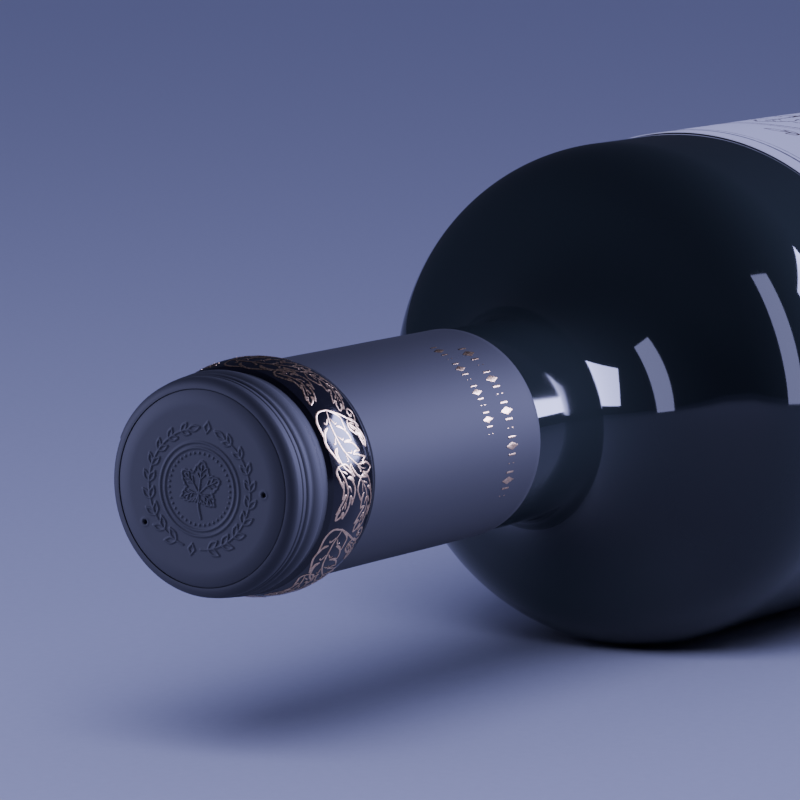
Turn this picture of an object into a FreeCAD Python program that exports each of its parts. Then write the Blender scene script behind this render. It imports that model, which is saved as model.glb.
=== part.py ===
import FreeCAD, Part
import math
import os

# A full wine bottle lying on its side: dark glass, a shrink sleeve over the lip and neck, an embossed
# disc in the sleeve's end, and a paper label. All sizes are in millimetres.
#
# The bottle's axis runs along X with the neck towards -X, and Z is up. The origin is the middle of the
# bottom of the whole box, on the flat spot that the bottle rests on. Outlines are drawn as (s, r): s is
# the distance along the axis from the relief on the end disc, and r is the distance from the axis.

# Whole bottle
BOTTLE_LENGTH = 310.0
BODY_DIAMETER = 75.0
FLAT_WIDTH = 10.0             # the flat spot along the underside

# Glass: base
HEEL_RADIUS = 7.0             # round from the body's side to the base
PUNT_DIAMETER = 52.0          # mouth of the hollow in the base
PUNT_DEPTH = 24.0
PUNT_LIP_RADIUS = 2.0

# Glass: lip, neck and shoulder
LIP_DIAMETER = 28.4           # over the lip, under the sleeve's skirt
NECK_SHOWING = 16.0           # straight neck between the sleeve and the flare
FLARE_RADIUS = 20.0           # inward curve at the neck
SHOULDER_RADIUS = 16.0        # outward curve at the body
SHOULDER_SLOPE = 62.0         # steepest slope between the two curves, in degrees from the axis

# Shrink sleeve
SLEEVE_LENGTH = 61.9          # from the folded rim
SLEEVE_DIAMETER = 29.6        # outside, over the neck
FILM = 0.3                    # thickness of the sleeve
FIT = 0.05                    # gap between the sleeve and what it covers
SKIRT_FILM = 0.4              # thickness over the lip, where the film has shrunk most
RIM_ROUND = 1.5               # round of the folded rim
RIM_OVERLAP = 0.4             # how far the folded rim reaches over the disc
RIM_EDGE = 0.1                # height of the rim's cut edge above the disc

# Raised hoops on the skirt, from the rim on: the gap before each, its width and its height
SKIRT_HOOPS = ((0.3, 0.5, 0.12), (0.4, 1.0, 0.25), (0.4, 2.6, 0.45))

# Printed band over the glass lip ring, with a thin hoop behind it
BAND_GROOVE = 1.1             # flat between the last skirt hoop and the band
BAND_STEP = 0.5               # axial length of the step at each edge
BAND_WIDTH = 9.7
BAND_DIAMETER = 32.0          # at its crown
BAND_EDGE_DIAMETER = 30.4     # at its two edges
BAND_HOOP = (0.15, 0.5, 0.15)

# Embossed disc: a flat middle with relief, and an edge that falls away to the rim
DISC_THICKNESS = 0.45         # under the rim
DISC_CROWN = 0.45             # how far the flat stands out past the rim
FLAT_INSET = 2.3              # from the rim's edge to the flat
RELIEF_HEIGHT = 0.15
RELIEF_RING_INSET = 4.3       # from the flat's edge to the middle of the raised ring
RELIEF_RING_WIDTH = 0.4
AIR_HOLE_DIAMETER = 0.6
AIR_HOLE_INSET = 0.8          # from the flat's edge to the middle of each air hole
AIR_HOLE_ANGLES = (-30.0, 180.0)   # from +Y towards +Z

# Paper label
LABEL_MARGIN = 18.0           # from the shoulder to the edge nearest the neck
LABEL_HEIGHT = 110.0          # along the bottle
LABEL_WRAP = 92.0             # around the bottle
LABEL_THICKNESS = 0.15
LABEL_GAP = 0.02

BODY_RADIUS = BODY_DIAMETER / 2
SLEEVE_RADIUS = SLEEVE_DIAMETER / 2
NECK_RADIUS = SLEEVE_RADIUS - FILM - FIT
LIP_RADIUS = LIP_DIAMETER / 2
SKIRT_RADIUS = LIP_RADIUS + FIT + SKIRT_FILM
RIM_FRONT = RELIEF_HEIGHT + DISC_CROWN
SKIRT_START = RIM_FRONT + RIM_ROUND
SKIRT_LENGTH = sum(gap + width for gap, width, height in SKIRT_HOOPS)
BAND_START = SKIRT_START + SKIRT_LENGTH + BAND_GROOVE + BAND_STEP
BAND_END = BAND_START + BAND_WIDTH
BAND_MIDDLE = (BAND_START + BAND_END) / 2
SLEEVE_END = RIM_FRONT + SLEEVE_LENGTH
WINDOW_RADIUS = SKIRT_RADIUS - RIM_ROUND - FIT
DISC_RADIUS = WINDOW_RADIUS + RIM_OVERLAP
DISC_FRONT = RIM_FRONT + FILM
DISC_BACK = DISC_FRONT + DISC_THICKNESS
FLAT_RADIUS = WINDOW_RADIUS - FLAT_INSET
RELIEF_RING_RADIUS = FLAT_RADIUS - RELIEF_RING_INSET
AIR_HOLE_RADIUS = FLAT_RADIUS - AIR_HOLE_INSET
AXIS_HEIGHT = math.sqrt(BODY_RADIUS ** 2 - (FLAT_WIDTH / 2) ** 2)
AXIS_POINT = FreeCAD.Vector(-BOTTLE_LENGTH / 2, 0, AXIS_HEIGHT)
AXIS = FreeCAD.Vector(1, 0, 0)

# Flare and shoulder: two curves joined by a straight slope, which is gentler where the rise is small
RISE = BODY_RADIUS - NECK_RADIUS
CURVES = FLARE_RADIUS + SHOULDER_RADIUS
SLOPE = min(math.radians(SHOULDER_SLOPE), math.acos(max(1 - RISE / CURVES, 0)))
SLOPE_RISE = RISE - CURVES * (1 - math.cos(SLOPE))
FLARE_START = SLEEVE_END + NECK_SHOWING
SHOULDER_START = FLARE_START + CURVES * math.sin(SLOPE) + SLOPE_RISE / math.tan(SLOPE)
LABEL_START = SHOULDER_START + LABEL_MARGIN
SHORTEST_EDGE = 1e-6


def place(s, r):
    """The point straight above the axis at distance s along it and r from it."""
    return AXIS_POINT + FreeCAD.Vector(s, 0, r)


class Outline:
    """An outline of lines and arcs in (s, r), which is turned about the bottle's axis."""

    def __init__(self, s, r):
        self.start = (s, r)
        self.end = (s, r)
        self.edges = []

    def line(self, s, r):
        """A straight line to (s, r)."""
        self.edges.append(Part.LineSegment(place(*self.end), place(s, r)).toShape())
        self.end = (s, r)
        return self

    def arc(self, middle, end):
        """An arc through the point middle to the point end."""
        self.edges.append(Part.Arc(place(*self.end), place(*middle), place(*end)).toShape())
        self.end = end
        return self

    def round(self, centre, radius, end, turn):
        """An arc of a known radius about centre, from the last point by turn radians to end."""
        first = math.atan2(self.end[1] - centre[1], self.end[0] - centre[0])
        middle = first + turn / 2
        through = (centre[0] + radius * math.cos(middle), centre[1] + radius * math.sin(middle))
        return self.arc(through, end)

    def hoop(self, hoop, base):
        """A raised hoop on a cylinder of radius base, after a straight line as long as its gap."""
        gap, width, height = hoop
        self.line(self.end[0] + gap, base)
        first = self.end[0]
        return self.arc((first + width / 2, base + height), (first + width, base))

    def turned(self, first=0.0, angle=360.0):
        """The solid made by turning the closed outline, from first degrees by angle degrees."""
        self.line(*self.start)
        face = Part.Face(Part.Wire(self.edges))
        face.rotate(AXIS_POINT, AXIS, first)
        return face.revolve(AXIS_POINT, AXIS, angle)


def shoulder(outline):
    """Add the flare, slope and shoulder, from the neck to the full body."""
    flare_end = (FLARE_START + FLARE_RADIUS * math.sin(SLOPE),
                 NECK_RADIUS + FLARE_RADIUS * (1 - math.cos(SLOPE)))
    outline.line(FLARE_START, NECK_RADIUS)
    outline.round((FLARE_START, NECK_RADIUS + FLARE_RADIUS), FLARE_RADIUS, flare_end, SLOPE)
    if SLOPE_RISE > SHORTEST_EDGE:
        outline.line(flare_end[0] + SLOPE_RISE / math.tan(SLOPE), flare_end[1] + SLOPE_RISE)
    centre = (SHOULDER_START, BODY_RADIUS - SHOULDER_RADIUS)
    outline.round(centre, SHOULDER_RADIUS, (SHOULDER_START, BODY_RADIUS), -SLOPE)


def under_band(outline, gap):
    """Add the outline that the sleeve is shrunk on, drawn larger by gap, from the skirt to the neck."""
    edge = BAND_EDGE_DIAMETER / 2 - FILM - FIT + gap
    crown = BAND_DIAMETER / 2 - FILM - FIT + gap
    outline.line(BAND_START - BAND_STEP, LIP_RADIUS + gap)
    outline.line(BAND_START, edge)
    outline.arc((BAND_MIDDLE, crown), (BAND_END, edge))
    outline.line(BAND_END + BAND_STEP, NECK_RADIUS + gap)


def bottle_glass():
    """The glass from lip to base, filled, with its punt and the flat spot it rests on."""
    outline = Outline(DISC_BACK, 0).line(DISC_BACK, LIP_RADIUS - RIM_ROUND)
    corner = (DISC_BACK + RIM_ROUND, LIP_RADIUS - RIM_ROUND)
    outline.round(corner, RIM_ROUND, (corner[0], LIP_RADIUS), -math.pi / 2)
    under_band(outline, 0)
    shoulder(outline)
    heel = (BOTTLE_LENGTH - HEEL_RADIUS, BODY_RADIUS - HEEL_RADIUS)
    outline.line(heel[0], BODY_RADIUS)
    outline.round(heel, HEEL_RADIUS, (BOTTLE_LENGTH, heel[1]), -math.pi / 2)
    punt = PUNT_DIAMETER / 2
    lip = (BOTTLE_LENGTH - PUNT_LIP_RADIUS, punt + PUNT_LIP_RADIUS)
    outline.line(BOTTLE_LENGTH, lip[1])
    outline.round(lip, PUNT_LIP_RADIUS, (lip[0], punt), -math.pi / 2)
    dome_depth = PUNT_DEPTH - PUNT_LIP_RADIUS
    dome_radius = (punt ** 2 + dome_depth ** 2) / (2 * dome_depth)
    top = BOTTLE_LENGTH - PUNT_DEPTH
    half_way = math.atan2(punt, dome_radius - dome_depth) / 2
    middle = (top + dome_radius * (1 - math.cos(half_way)), dome_radius * math.sin(half_way))
    outline.arc(middle, (top, 0))
    below = Part.makeBox(BOTTLE_LENGTH, BODY_DIAMETER, BODY_DIAMETER,
                         FreeCAD.Vector(-BOTTLE_LENGTH / 2, -BODY_RADIUS, -BODY_DIAMETER))
    return outline.turned().cut(below)


def capsule_sleeve():
    """The shrink sleeve: folded rim, skirt with hoops, printed band and plain tube over the neck."""
    edge = BAND_EDGE_DIAMETER / 2
    outline = Outline(RIM_FRONT, 0).line(RIM_FRONT, SKIRT_RADIUS - RIM_ROUND)
    corner = (SKIRT_START, SKIRT_RADIUS - RIM_ROUND)
    outline.round(corner, RIM_ROUND, (SKIRT_START, SKIRT_RADIUS), -math.pi / 2)
    for hoop in SKIRT_HOOPS:
        outline.hoop(hoop, SKIRT_RADIUS)
    outline.line(BAND_START - BAND_STEP, SKIRT_RADIUS)
    outline.line(BAND_START, edge)
    outline.arc((BAND_MIDDLE, BAND_DIAMETER / 2), (BAND_END, edge))
    outline.line(BAND_END + BAND_STEP, SLEEVE_RADIUS)
    outline.hoop(BAND_HOOP, SLEEVE_RADIUS)
    outline.line(SLEEVE_END, SLEEVE_RADIUS)
    outline.line(SLEEVE_END, 0)
    hollow = Outline(DISC_FRONT, 0).line(DISC_FRONT, DISC_RADIUS)
    hollow.line(DISC_FRONT + LIP_RADIUS + FIT - DISC_RADIUS, LIP_RADIUS + FIT)
    under_band(hollow, FIT)
    hollow.line(SLEEVE_END, NECK_RADIUS + FIT)
    hollow.line(SLEEVE_END, 0)
    window = Part.makeCylinder(WINDOW_RADIUS, DISC_FRONT, AXIS_POINT, AXIS)
    return outline.turned().cut(hollow.turned()).cut(window)


def capsule_disc():
    """The disc in the rim's window, with its crown, its raised ring and two air holes."""
    radius = DISC_RADIUS - FIT
    crown_edge = WINDOW_RADIUS - FIT
    crown_width = crown_edge - FLAT_RADIUS
    crown_drop = DISC_CROWN + RIM_EDGE
    crown_radius = (crown_width ** 2 + crown_drop ** 2) / (2 * crown_drop)
    ring_inside = RELIEF_RING_RADIUS - RELIEF_RING_WIDTH / 2
    ring_outside = RELIEF_RING_RADIUS + RELIEF_RING_WIDTH / 2
    outline = Outline(RELIEF_HEIGHT, 0).line(RELIEF_HEIGHT, ring_inside)
    outline.arc((0, RELIEF_RING_RADIUS), (RELIEF_HEIGHT, ring_outside))
    outline.line(RELIEF_HEIGHT, FLAT_RADIUS)
    centre = (RELIEF_HEIGHT + crown_radius, FLAT_RADIUS)
    fall = math.asin(crown_width / crown_radius)
    outline.round(centre, crown_radius, (RELIEF_HEIGHT + crown_drop, crown_edge), -fall)
    outline.line(DISC_FRONT, crown_edge)
    outline.line(DISC_FRONT, radius)
    outline.line(DISC_BACK, radius)
    outline.line(DISC_BACK, 0)
    disc = outline.turned()
    for angle in AIR_HOLE_ANGLES:
        turn = math.radians(angle)
        side = FreeCAD.Vector(0, math.cos(turn), math.sin(turn)) * AIR_HOLE_RADIUS
        disc = disc.cut(Part.makeCylinder(AIR_HOLE_DIAMETER / 2, DISC_BACK, AXIS_POINT + side, AXIS))
    return disc


def label_paper():
    """The paper label, centred on the upper side of the body."""
    inside = BODY_RADIUS + LABEL_GAP
    outside = inside + LABEL_THICKNESS
    wrap = math.degrees(LABEL_WRAP / BODY_RADIUS)
    outline = Outline(LABEL_START, inside).line(LABEL_START, outside)
    outline.line(LABEL_START + LABEL_HEIGHT, outside)
    outline.line(LABEL_START + LABEL_HEIGHT, inside)
    return outline.turned(-wrap / 2, wrap)


os.makedirs("parts", exist_ok=True)
for build in (bottle_glass, capsule_sleeve, capsule_disc, label_paper):
    build().exportStep(f"parts/{build.__name__}.step")
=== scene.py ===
"""Looks of a full wine bottle lying on its side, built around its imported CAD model.

The bottle's axis runs along X with the neck towards -X. A place on it is given by s, the distance along the
axis from the relief on the end disc, by r, the distance from the axis, and by a turn round the axis in
radians, which starts at +Y and grows towards +Z.
"""

import logging
import math
from collections.abc import Callable, Sequence
from dataclasses import dataclass, field
from enum import Enum
from typing import Any

import bmesh
import bpy
import numpy as np
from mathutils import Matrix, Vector
from mathutils.kdtree import KDTree


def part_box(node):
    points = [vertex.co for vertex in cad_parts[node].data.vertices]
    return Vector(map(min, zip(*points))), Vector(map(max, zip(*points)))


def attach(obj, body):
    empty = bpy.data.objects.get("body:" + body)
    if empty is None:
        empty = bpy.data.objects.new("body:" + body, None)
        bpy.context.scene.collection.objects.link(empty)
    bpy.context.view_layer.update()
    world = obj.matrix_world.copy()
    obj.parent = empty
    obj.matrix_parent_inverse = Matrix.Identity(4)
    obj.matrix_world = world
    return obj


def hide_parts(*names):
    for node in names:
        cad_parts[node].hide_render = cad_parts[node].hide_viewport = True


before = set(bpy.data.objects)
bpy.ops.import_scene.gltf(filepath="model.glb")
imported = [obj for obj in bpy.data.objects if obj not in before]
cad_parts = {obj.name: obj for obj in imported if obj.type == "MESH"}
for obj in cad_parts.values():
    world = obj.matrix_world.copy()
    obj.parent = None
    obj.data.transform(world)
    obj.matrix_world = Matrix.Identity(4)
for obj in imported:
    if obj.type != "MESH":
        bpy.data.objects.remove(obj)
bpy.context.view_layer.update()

LOG = logging.getLogger("wine_bottle")
MM = 0.001
FULL_TURN = 2 * math.pi
Colour = tuple[float, float, float]


# ---------------------------------------------------------------------------------------------------------
# Places and outlines
# ---------------------------------------------------------------------------------------------------------

@dataclass(frozen=True)
class Axis:
    """The bottle's axis: the x of s = 0, and its height over the floor."""

    nose: float
    height: float

    @classmethod
    def from_frame(cls) -> "Axis":
        """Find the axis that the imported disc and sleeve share.

        Returns:
            The axis.
        """
        disc_low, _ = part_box("capsule_disc")
        low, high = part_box("capsule_sleeve")
        return cls(disc_low.x, (low.z + high.z) / 2)

    @property
    def origin(self) -> tuple[float, float, float]:
        """The point of s = 0 on the axis."""
        return (self.nose, 0.0, self.height)

    def points(self, s: np.ndarray, r: np.ndarray, turn: np.ndarray) -> np.ndarray:
        """Places on the bottle as points in the frame.

        Args:
            s: Distances along the axis.
            r: Distances from the axis.
            turn: Turns round the axis, in radians.

        Returns:
            An array of the arguments' common shape, with x, y and z last.
        """
        s, r, turn = np.broadcast_arrays(s, r, turn)
        return np.stack((self.nose + s, r * np.cos(turn), self.height + r * np.sin(turn)), axis=-1)


class Outline:
    """An outline in (s, r) that is sampled finely enough for smooth reflections."""

    def __init__(self, s: float, r: float) -> None:
        """Start at (s, r)."""
        self.places: list[tuple[float, float]] = [(s, r)]

    @property
    def end(self) -> tuple[float, float]:
        """The last place."""
        return self.places[-1]

    def line(self, s: float, r: float, step: float = math.inf) -> "Outline":
        """Go straight to (s, r).

        Args:
            s: Distance along the axis.
            r: Distance from the axis.
            step: The longest stretch without a sample.

        Returns:
            The outline itself.
        """
        s0, r0 = self.end
        count = max(1, math.ceil(math.hypot(s - s0, r - r0) / step))
        for i in range(1, count + 1):
            self.places.append((s0 + (s - s0) * i / count, r0 + (r - r0) * i / count))
        return self

    def round(self, centre: tuple[float, float], radius: float, turn: float, count: int) -> "Outline":
        """Go round an arc that starts at the last place.

        Args:
            centre: The arc's centre.
            radius: The arc's radius.
            turn: The arc's angle, with its sign.
            count: The number of samples.

        Returns:
            The outline itself.
        """
        s0, r0 = self.end
        first = math.atan2(r0 - centre[1], s0 - centre[0])
        for i in range(1, count + 1):
            angle = first + turn * i / count
            self.places.append((centre[0] + radius * math.cos(angle), centre[1] + radius * math.sin(angle)))
        return self

    def hoop(self, gap: float, width: float, height: float, base: float, count: int = 12) -> "Outline":
        """Go over a raised hoop on a cylinder, after a straight gap.

        Args:
            gap: The straight stretch before the hoop.
            width: The hoop's width along the axis.
            height: How far it stands up.
            base: The cylinder's radius.
            count: The number of samples.

        Returns:
            The outline itself.
        """
        self.line(self.end[0] + gap, base, step=0.2 * MM)
        return self.barrel(width, base, base + height, count)

    def barrel(self, width: float, edge: float, crown: float, count: int) -> "Outline":
        """Go over a barrel.

        Args:
            width: The barrel's width along the axis, with its sign.
            edge: The radius at both ends.
            crown: The radius in the middle.
            count: The number of samples.

        Returns:
            The outline itself.
        """
        first = self.end[0]
        for i in range(1, count + 1):
            across = i / count
            self.places.append((first + width * across, edge + (crown - edge) * 4 * across * (1 - across)))
        return self

    def samples(self) -> np.ndarray:
        """All places as an array of (s, r) rows."""
        return np.array(self.places)


def round_turns(columns: int) -> np.ndarray:
    """Even turns once round the axis, as one row."""
    return np.linspace(0, FULL_TURN, columns, endpoint=False)[None, :]


def waves(s: np.ndarray, turn: np.ndarray, height: float, pitch: float, seed: int) -> np.ndarray:
    """A smooth unevenness of a round surface, made from a few waves.

    Args:
        s: Distances along the axis.
        turn: Turns round the axis.
        height: The unevenness from middle to peak.
        pitch: The longest wave along the axis.
        seed: Seed of the waves' order and place.

    Returns:
        Heights of the arguments' common shape.
    """
    draw = np.random.default_rng(seed)
    total = np.zeros(np.broadcast(s, turn).shape)
    share = 1.0
    for lobes in (2, 3, 5, 8, 13):
        start, lean = draw.uniform(0, FULL_TURN, 2)
        total = total + share * np.sin(lobes * turn + start + FULL_TURN * s / pitch * (0.4 + lean / 6))
        share *= 0.7
        pitch *= 0.8
    return height * total / 2.5


# ---------------------------------------------------------------------------------------------------------
# Meshes
# ---------------------------------------------------------------------------------------------------------

def finish_mesh(name: str, points: np.ndarray, faces: Sequence[Sequence[int]],
                sharp_angle: float) -> bpy.types.Object:
    """Make a mesh object with outward faces and smooth shading.

    Args:
        name: The piece's name.
        points: Corners, one row each.
        faces: Corner numbers of each face.
        sharp_angle: Edges that bend more than this, in radians, stay sharp.

    Returns:
        The object, at the origin.
    """
    mesh = bpy.data.meshes.new(name)
    mesh.from_pydata(points.tolist(), [], faces)
    work = bmesh.new()
    work.from_mesh(mesh)
    bmesh.ops.recalc_face_normals(work, faces=work.faces)
    work.to_mesh(mesh)
    work.free()
    mesh.polygons.foreach_set("use_smooth", [True] * len(mesh.polygons))
    mesh.set_sharp_from_angle(angle=sharp_angle)
    mesh.update()
    piece = bpy.data.objects.new(name, mesh)
    bpy.context.scene.collection.objects.link(piece)
    return piece


def round_mesh(name: str, grid: np.ndarray, ring: bool, sharp_angle: float = 0.7) -> bpy.types.Object:
    """A closed mesh from rows of points that each go once round the axis.

    Args:
        name: The piece's name.
        grid: Points as rows by columns by 3.
        ring: Whether the last row joins the first. Otherwise each end row closes on a pole.
        sharp_angle: Edges that bend more than this, in radians, stay sharp.

    Returns:
        The object.
    """
    rows, columns, _ = grid.shape
    across = np.arange(columns)
    following = (across + 1) % columns
    faces: list[list[int]] = []
    for row in range(rows if ring else rows - 1):
        near, far = row * columns, (row + 1) % rows * columns
        faces += np.stack((near + across, near + following, far + following, far + across), 1).tolist()
    points = grid.reshape(-1, 3)
    if not ring:
        poles = np.stack((grid[0].mean(0), grid[-1].mean(0)))
        first, last = len(points), len(points) + 1
        points = np.concatenate((points, poles))
        end = (rows - 1) * columns
        faces += [[first, int(b), int(a)] for a, b in zip(across, following)]
        faces += [[last, int(end + a), int(end + b)] for a, b in zip(across, following)]
    return finish_mesh(name, points, faces, sharp_angle)


def set_finishes(piece: bpy.types.Object, materials: Sequence[bpy.types.Material],
                 choose: Callable[[np.ndarray], np.ndarray] | None = None) -> None:
    """Dress a piece.

    Args:
        piece: The mesh object.
        materials: Its finishes.
        choose: Gives each face's finish from the faces' middles.
    """
    piece.data.materials.clear()
    for material in materials:
        piece.data.materials.append(material)
    if choose is not None:
        middles = np.empty(len(piece.data.polygons) * 3, np.float32)
        piece.data.polygons.foreach_get("center", middles)
        piece.data.polygons.foreach_set("material_index", choose(middles.reshape(-1, 3)).astype(np.int32))
        piece.data.update()


def hand_over(piece: bpy.types.Object, slot: str, *nodes: str) -> None:
    """Tie a finished piece to the bottle.

    Args:
        piece: The finished object.
        slot: The record's material slot. It is not used.
        nodes: The CAD nodes that the piece stands for.
    """
    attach(piece, "root")
    if nodes:
        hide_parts(*nodes)
    LOG.info("%s: %d faces", piece.name, len(piece.data.polygons))


# ---------------------------------------------------------------------------------------------------------
# Finishes
# ---------------------------------------------------------------------------------------------------------

class Nodes:
    """Adds nodes to a tree, with their inputs set or linked in one call."""

    def __init__(self, tree: bpy.types.NodeTree) -> None:
        """Work on tree."""
        self.tree = tree

    def give(self, node: bpy.types.Node, inputs: dict[Any, Any]) -> None:
        """Set or link a node's inputs.

        Args:
            node: The node.
            inputs: Values or output sockets, by input name or number.
        """
        for key, value in inputs.items():
            if isinstance(value, bpy.types.NodeSocket):
                self.tree.links.new(value, node.inputs[key])
            else:
                node.inputs[key].default_value = value

    def add(self, kind: str, inputs: dict[Any, Any] | None = None, **settings: Any) -> bpy.types.Node:
        """Add a node.

        Args:
            kind: The node's type name.
            inputs: Values or output sockets, by input name or number.
            settings: Properties of the node.

        Returns:
            The node.
        """
        node = self.tree.nodes.new(kind)
        for name, value in settings.items():
            setattr(node, name, value)
        self.give(node, inputs or {})
        return node

    def math(self, operation: str, *values: Any) -> bpy.types.NodeSocket:
        """The result of a math node on up to three values or sockets."""
        kind = "ShaderNodeMath"
        return self.add(kind, dict(enumerate(values)), operation=operation).outputs[0]


class Skin(Nodes):
    """A new material, made of nodes on Object coordinates that feed one Principled shader."""

    def __init__(self, name: str) -> None:
        """Start the material.

        Args:
            name: The material's name.
        """
        self.material = bpy.data.materials.new(name)
        self.material.use_nodes = True
        super().__init__(self.material.node_tree)
        self.place = self.add("ShaderNodeTexCoord").outputs["Object"]

    def noise(self, grain: float, detail: float = 3.0,
              place: bpy.types.NodeSocket | None = None) -> bpy.types.NodeSocket:
        """Noise from 0 to 1, at place, whose spots are about grain metres across."""
        inputs = {"Vector": place or self.place, "Scale": 1 / grain, "Detail": detail}
        return self.add("ShaderNodeTexNoise", inputs).outputs[0]

    def spread(self, value: bpy.types.NodeSocket, low: float, high: float,
               start: float = 0.3, end: float = 0.7) -> bpy.types.NodeSocket:
        """A value from start to end, spread out over low to high."""
        return self.add("ShaderNodeMapRange", {0: value, 1: start, 2: end, 3: low, 4: high}).outputs[0]

    def blend(self, share: bpy.types.NodeSocket, first: Colour, second: Colour) -> bpy.types.NodeSocket:
        """A colour between first and second."""
        ends = {0: share, 6: (*first, 1.0), 7: (*second, 1.0)}
        return self.add("ShaderNodeMix", ends, data_type="RGBA").outputs[2]

    def bump(self, height: bpy.types.NodeSocket, distance: float,
             below: bpy.types.NodeSocket | None = None) -> bpy.types.NodeSocket:
        """The surface's small relief.

        Args:
            height: The relief's height, from 0 to 1.
            distance: Its depth in metres.
            below: A relief that it lies on.

        Returns:
            The normal.
        """
        inputs = {"Height": height, "Distance": distance, "Strength": 1.0}
        if below is not None:
            inputs["Normal"] = below
        return self.add("ShaderNodeBump", inputs).outputs[0]

    def finish(self, **inputs: Any) -> bpy.types.Material:
        """Feed the shader.

        Args:
            inputs: The shader's inputs, with _ for each space.

        Returns:
            The material.
        """
        shader = self.tree.nodes["Principled BSDF"]
        self.give(shader, {name.replace("_", " "): value for name, value in inputs.items()})
        return self.material


@dataclass(frozen=True)
class FilmFinish:
    """Black shrink film or plastic: a fine grain, faint rub marks and a few dust specks."""

    name: str
    dark: Colour
    light: Colour
    roughness: tuple[float, float]
    grain: float = 0.16 * MM
    grain_depth: float = 0.003 * MM
    dimple: float = 1.2 * MM
    dimple_depth: float = 0.007 * MM
    rub: float = 4 * MM
    speck_spacing: float = 1.1 * MM
    speck_patch: float = 2.5 * MM

    def make(self) -> bpy.types.Material:
        """Build the finish's nodes.

        Returns:
            The material.
        """
        skin = Skin(self.name)
        rubbed = skin.noise(self.rub)
        specks = skin.add("ShaderNodeTexVoronoi", {"Vector": skin.place, "Scale": 1 / self.speck_spacing})
        dust = skin.spread(specks.outputs["Distance"], 1.0, 0.0, 0.02, 0.07)
        rarely = skin.spread(skin.noise(self.speck_patch, 1.0), 0.0, 1.0, 0.56, 0.6)
        share = skin.math("MAXIMUM", skin.spread(rubbed, 0.0, 0.6), skin.math("MULTIPLY", dust, rarely))
        dimples = skin.bump(skin.noise(self.dimple, 2.0), self.dimple_depth)
        return skin.finish(Base_Color=skin.blend(share, self.dark, self.light),
                           Roughness=skin.spread(rubbed, *self.roughness),
                           Normal=skin.bump(skin.noise(self.grain), self.grain_depth, dimples))


@dataclass(frozen=True)
class GlassFinish:
    """Thick dark glass, filled with red wine: nothing shows through it, and it mirrors the room."""

    name: str = "dark_glass"
    dark: Colour = (0.0022, 0.0026, 0.0034)
    light: Colour = (0.0036, 0.005, 0.0046)
    cloud: float = 40 * MM
    dust: float = 0.5 * MM
    ripple: float = 22 * MM
    ripple_depth: float = 0.06 * MM
    refraction: float = 1.52

    def make(self) -> bpy.types.Material:
        """Build the finish's nodes.

        Returns:
            The material.
        """
        skin = Skin(self.name)
        share = skin.spread(skin.noise(self.cloud), 0.0, 1.0)
        return skin.finish(Base_Color=skin.blend(share, self.dark, self.light),
                           Roughness=skin.spread(skin.noise(self.dust, 6.0), 0.05, 0.11, 0.45, 0.75),
                           Normal=skin.bump(skin.noise(self.ripple, 1.0), self.ripple_depth),
                           IOR=self.refraction)


@dataclass(frozen=True)
class FoilFinish:
    """Hot-stamped foil: a bright warm metal that is slightly worn and broken."""

    name: str = "gold_foil"
    bright: Colour = (0.88, 0.62, 0.38)
    worn: Colour = (0.62, 0.38, 0.2)
    wear: float = 0.5 * MM
    cloud: float = 0.3 * MM
    grain: float = 0.12 * MM
    grain_depth: float = 0.004 * MM

    def make(self) -> bpy.types.Material:
        """Build the finish's nodes.

        Returns:
            The material.
        """
        skin = Skin(self.name)
        share = skin.spread(skin.noise(self.wear), 0.0, 1.0, 0.45, 0.75)
        return skin.finish(Base_Color=skin.blend(share, self.bright, self.worn),
                           Roughness=skin.spread(skin.noise(self.cloud), 0.22, 0.38),
                           Normal=skin.bump(skin.noise(self.grain), self.grain_depth),
                           Metallic=1.0)


@dataclass(frozen=True)
class PaperFinish:
    """Uncoated paper or ink on it: matt, with a fibre relief and a faint mottle."""

    name: str
    pale: Colour
    deep: Colour
    roughness: float = 0.75
    sheen: float = 0.1
    mottle: float = 1.5 * MM
    felt: float = 1.6 * MM
    felt_depth: float = 0.03 * MM
    fibre: float = 0.25 * MM
    fibre_depth: float = 0.012 * MM
    fibre_stretch: tuple[float, float, float] = (1.0, 2.2, 1.6)

    def make(self) -> bpy.types.Material:
        """Build the finish's nodes.

        Returns:
            The material.
        """
        skin = Skin(self.name)
        share = skin.spread(skin.noise(self.mottle, 5.0), 0.0, 1.0)
        mapping = skin.add("ShaderNodeMapping", {"Vector": skin.place, "Scale": self.fibre_stretch})
        stretched = mapping.outputs[0]
        felt = skin.bump(skin.noise(self.felt, 4.0, stretched), self.felt_depth)
        return skin.finish(Base_Color=skin.blend(share, self.pale, self.deep),
                           Normal=skin.bump(skin.noise(self.fibre, 5.0, stretched), self.fibre_depth, felt),
                           Roughness=self.roughness, Sheen_Weight=self.sheen)


@dataclass(frozen=True)
class FloorFinish:
    """A pale studio floor with a faint mottle."""

    name: str = "studio_floor"
    pale: Colour = (0.50, 0.51, 0.54)
    deep: Colour = (0.48, 0.49, 0.52)
    mottle: float = 1.5 * MM
    roughness: float = 0.7

    def make(self) -> bpy.types.Material:
        """Build the finish's nodes.

        Returns:
            The material.
        """
        skin = Skin(self.name)
        share = skin.spread(skin.noise(self.mottle, 4.0), 0.0, 1.0)
        return skin.finish(Base_Color=skin.blend(share, self.pale, self.deep), Roughness=self.roughness)


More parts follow.
